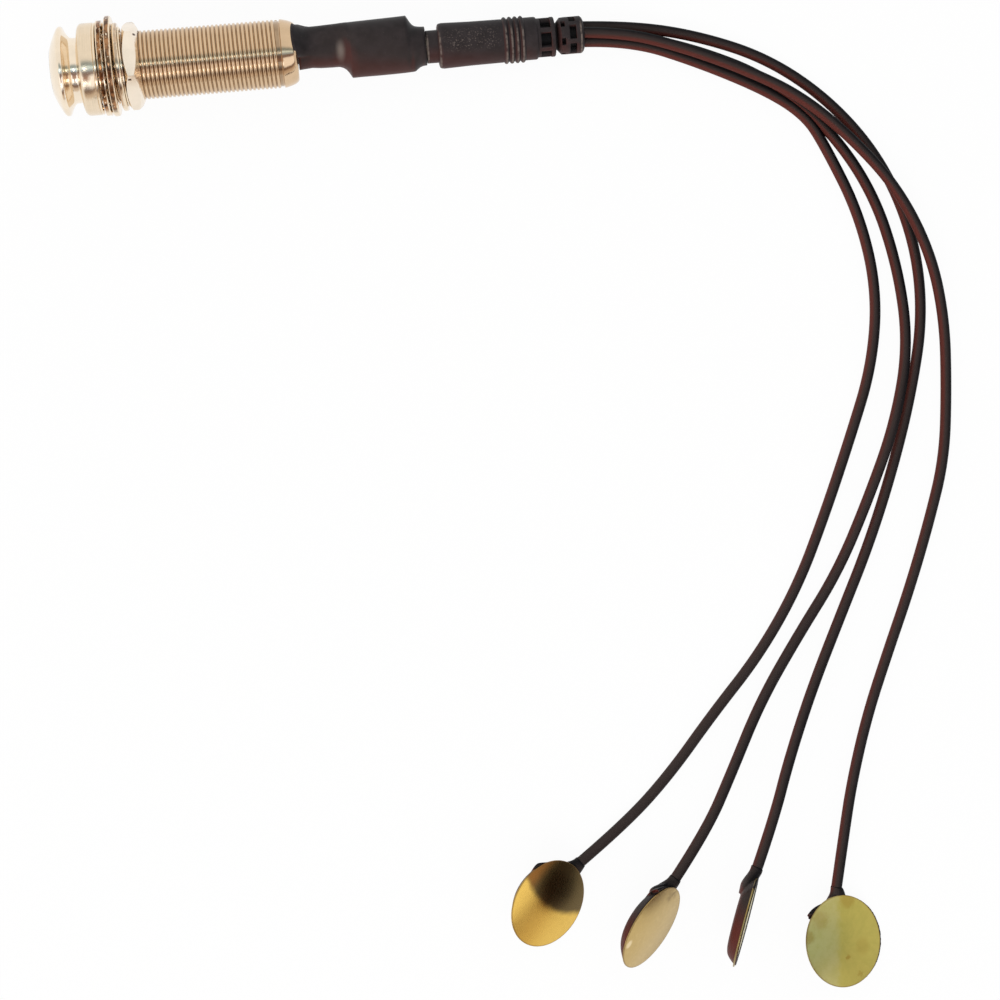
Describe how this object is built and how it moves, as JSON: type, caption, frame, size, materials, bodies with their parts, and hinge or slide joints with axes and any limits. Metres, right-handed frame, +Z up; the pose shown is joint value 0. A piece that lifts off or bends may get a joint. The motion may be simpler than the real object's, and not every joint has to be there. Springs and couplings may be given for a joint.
{
  "type": "piezo pickup",
  "caption": "Stick-on piezo pickup for an acoustic guitar: an end-pin jack with washers and nut, a sleeved in-line plug, and thin leads to brass discs.",
  "frame": {"origin": "middle of the jack's and discs' footprint on the table, at table height", "axes": "+X runs along the jack seen from above, from its mouth to its plug; +Y runs from the discs to the jack; +Z up from the table"},
  "size_m": [0.1554, 0.1846, 0.0176],
  "materials": {
    "polished_nickel": "polished",
    "brushed_nickel": "brushed round",
    "washer_steel": "rolled",
    "disc_brass": "rolled, slightly tarnished",
    "piezo_wafer": "matte",
    "disc_rubber": "matte",
    "shrink_sleeve": "satin, faintly grained",
    "moulding_black": "matte",
    "lead_jacket": "satin",
    "insulator": "matte",
    "contact_metal": "bright",
    "socket_plastic": "matte",
    "hot_wire_jacket": "satin",
    "ground_wire_jacket": "satin"
  },
  "bodies": {
    "root": {"strap_button": "polished_nickel", "collar_nut": "brushed_nickel", "face_ring": "polished_nickel", "barrel": "polished_nickel", "outer_star_washer": "washer_steel", "large_washer": "washer_steel", "inner_star_washer": "washer_steel", "small_washer": "washer_steel", "hex_nut": "polished_nickel", "insulating_liner": "insulator", "rear_insulator": "insulator", "tip_spring": "contact_metal", "tip_lug": "contact_metal", "ground_lug": "contact_metal", "hot_wire": "hot_wire_jacket", "ground_wire": "ground_wire_jacket", "socket_body": "socket_plastic", "socket_spring": "contact_metal", "socket_tip_lug": "contact_metal", "socket_ground_lug": "contact_metal", "plug_tip": "polished_nickel", "plug_ring": "insulator", "plug_sleeve": "polished_nickel", "heat_shrink_sleeve": "shrink_sleeve", "plug_moulding": "moulding_black", "disc_plate_1": "disc_brass", "piezo_ceramic_1": "piezo_wafer", "disc_coat_1": "disc_rubber", "lead_1": "lead_jacket", "disc_plate_2": "disc_brass", "piezo_ceramic_2": "piezo_wafer", "disc_coat_2": "disc_rubber", "lead_2": "lead_jacket", "disc_plate_3": "disc_brass", "piezo_ceramic_3": "piezo_wafer", "disc_coat_3": "disc_rubber", "lead_3": "lead_jacket", "disc_plate_4": "disc_brass", "piezo_ceramic_4": "piezo_wafer", "disc_coat_4": "disc_rubber", "lead_4": "lead_jacket"}
  },
  "joints": []
}
